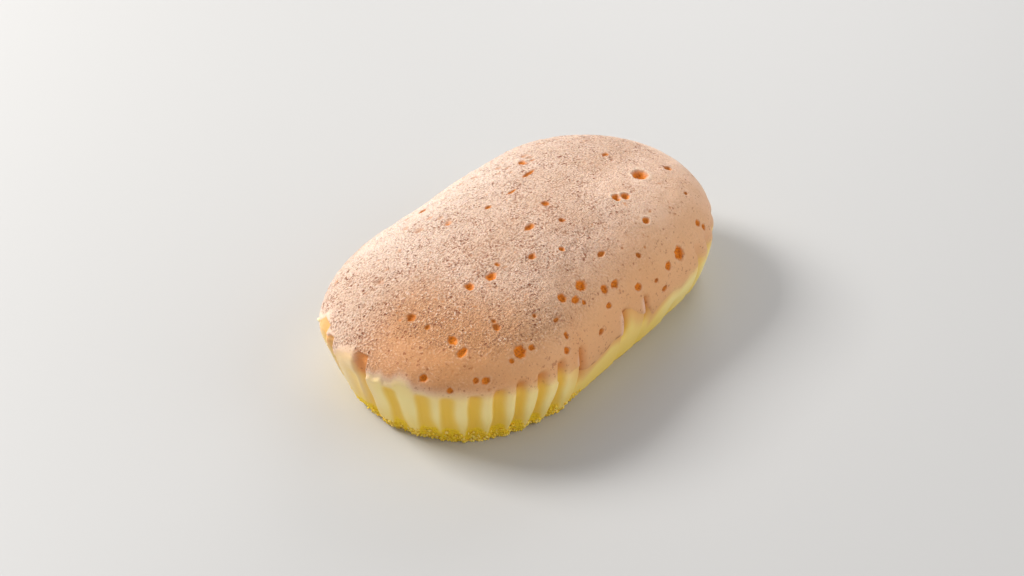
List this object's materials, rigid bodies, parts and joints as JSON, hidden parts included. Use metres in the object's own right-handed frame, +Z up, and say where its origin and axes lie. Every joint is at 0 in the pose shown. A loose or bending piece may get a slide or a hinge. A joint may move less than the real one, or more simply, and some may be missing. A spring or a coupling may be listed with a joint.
{
  "type": "steamed cake",
  "caption": "Long oval steamed sponge cake with a browned, pitted dome and a fluted yellow side, turned out of its pleated case.",
  "frame": {"origin": "middle of the flat base, under the middle of the cake's box", "axes": "+X along the cake's length, towards its less spread end; +Z up"},
  "size_m": [0.1434, 0.084, 0.0423],
  "materials": {
    "cake": "steamed sponge: matt light brown crust over a pale yellow crumb"
  },
  "bodies": {
    "root": {"cake": "cake"}
  },
  "joints": []
}
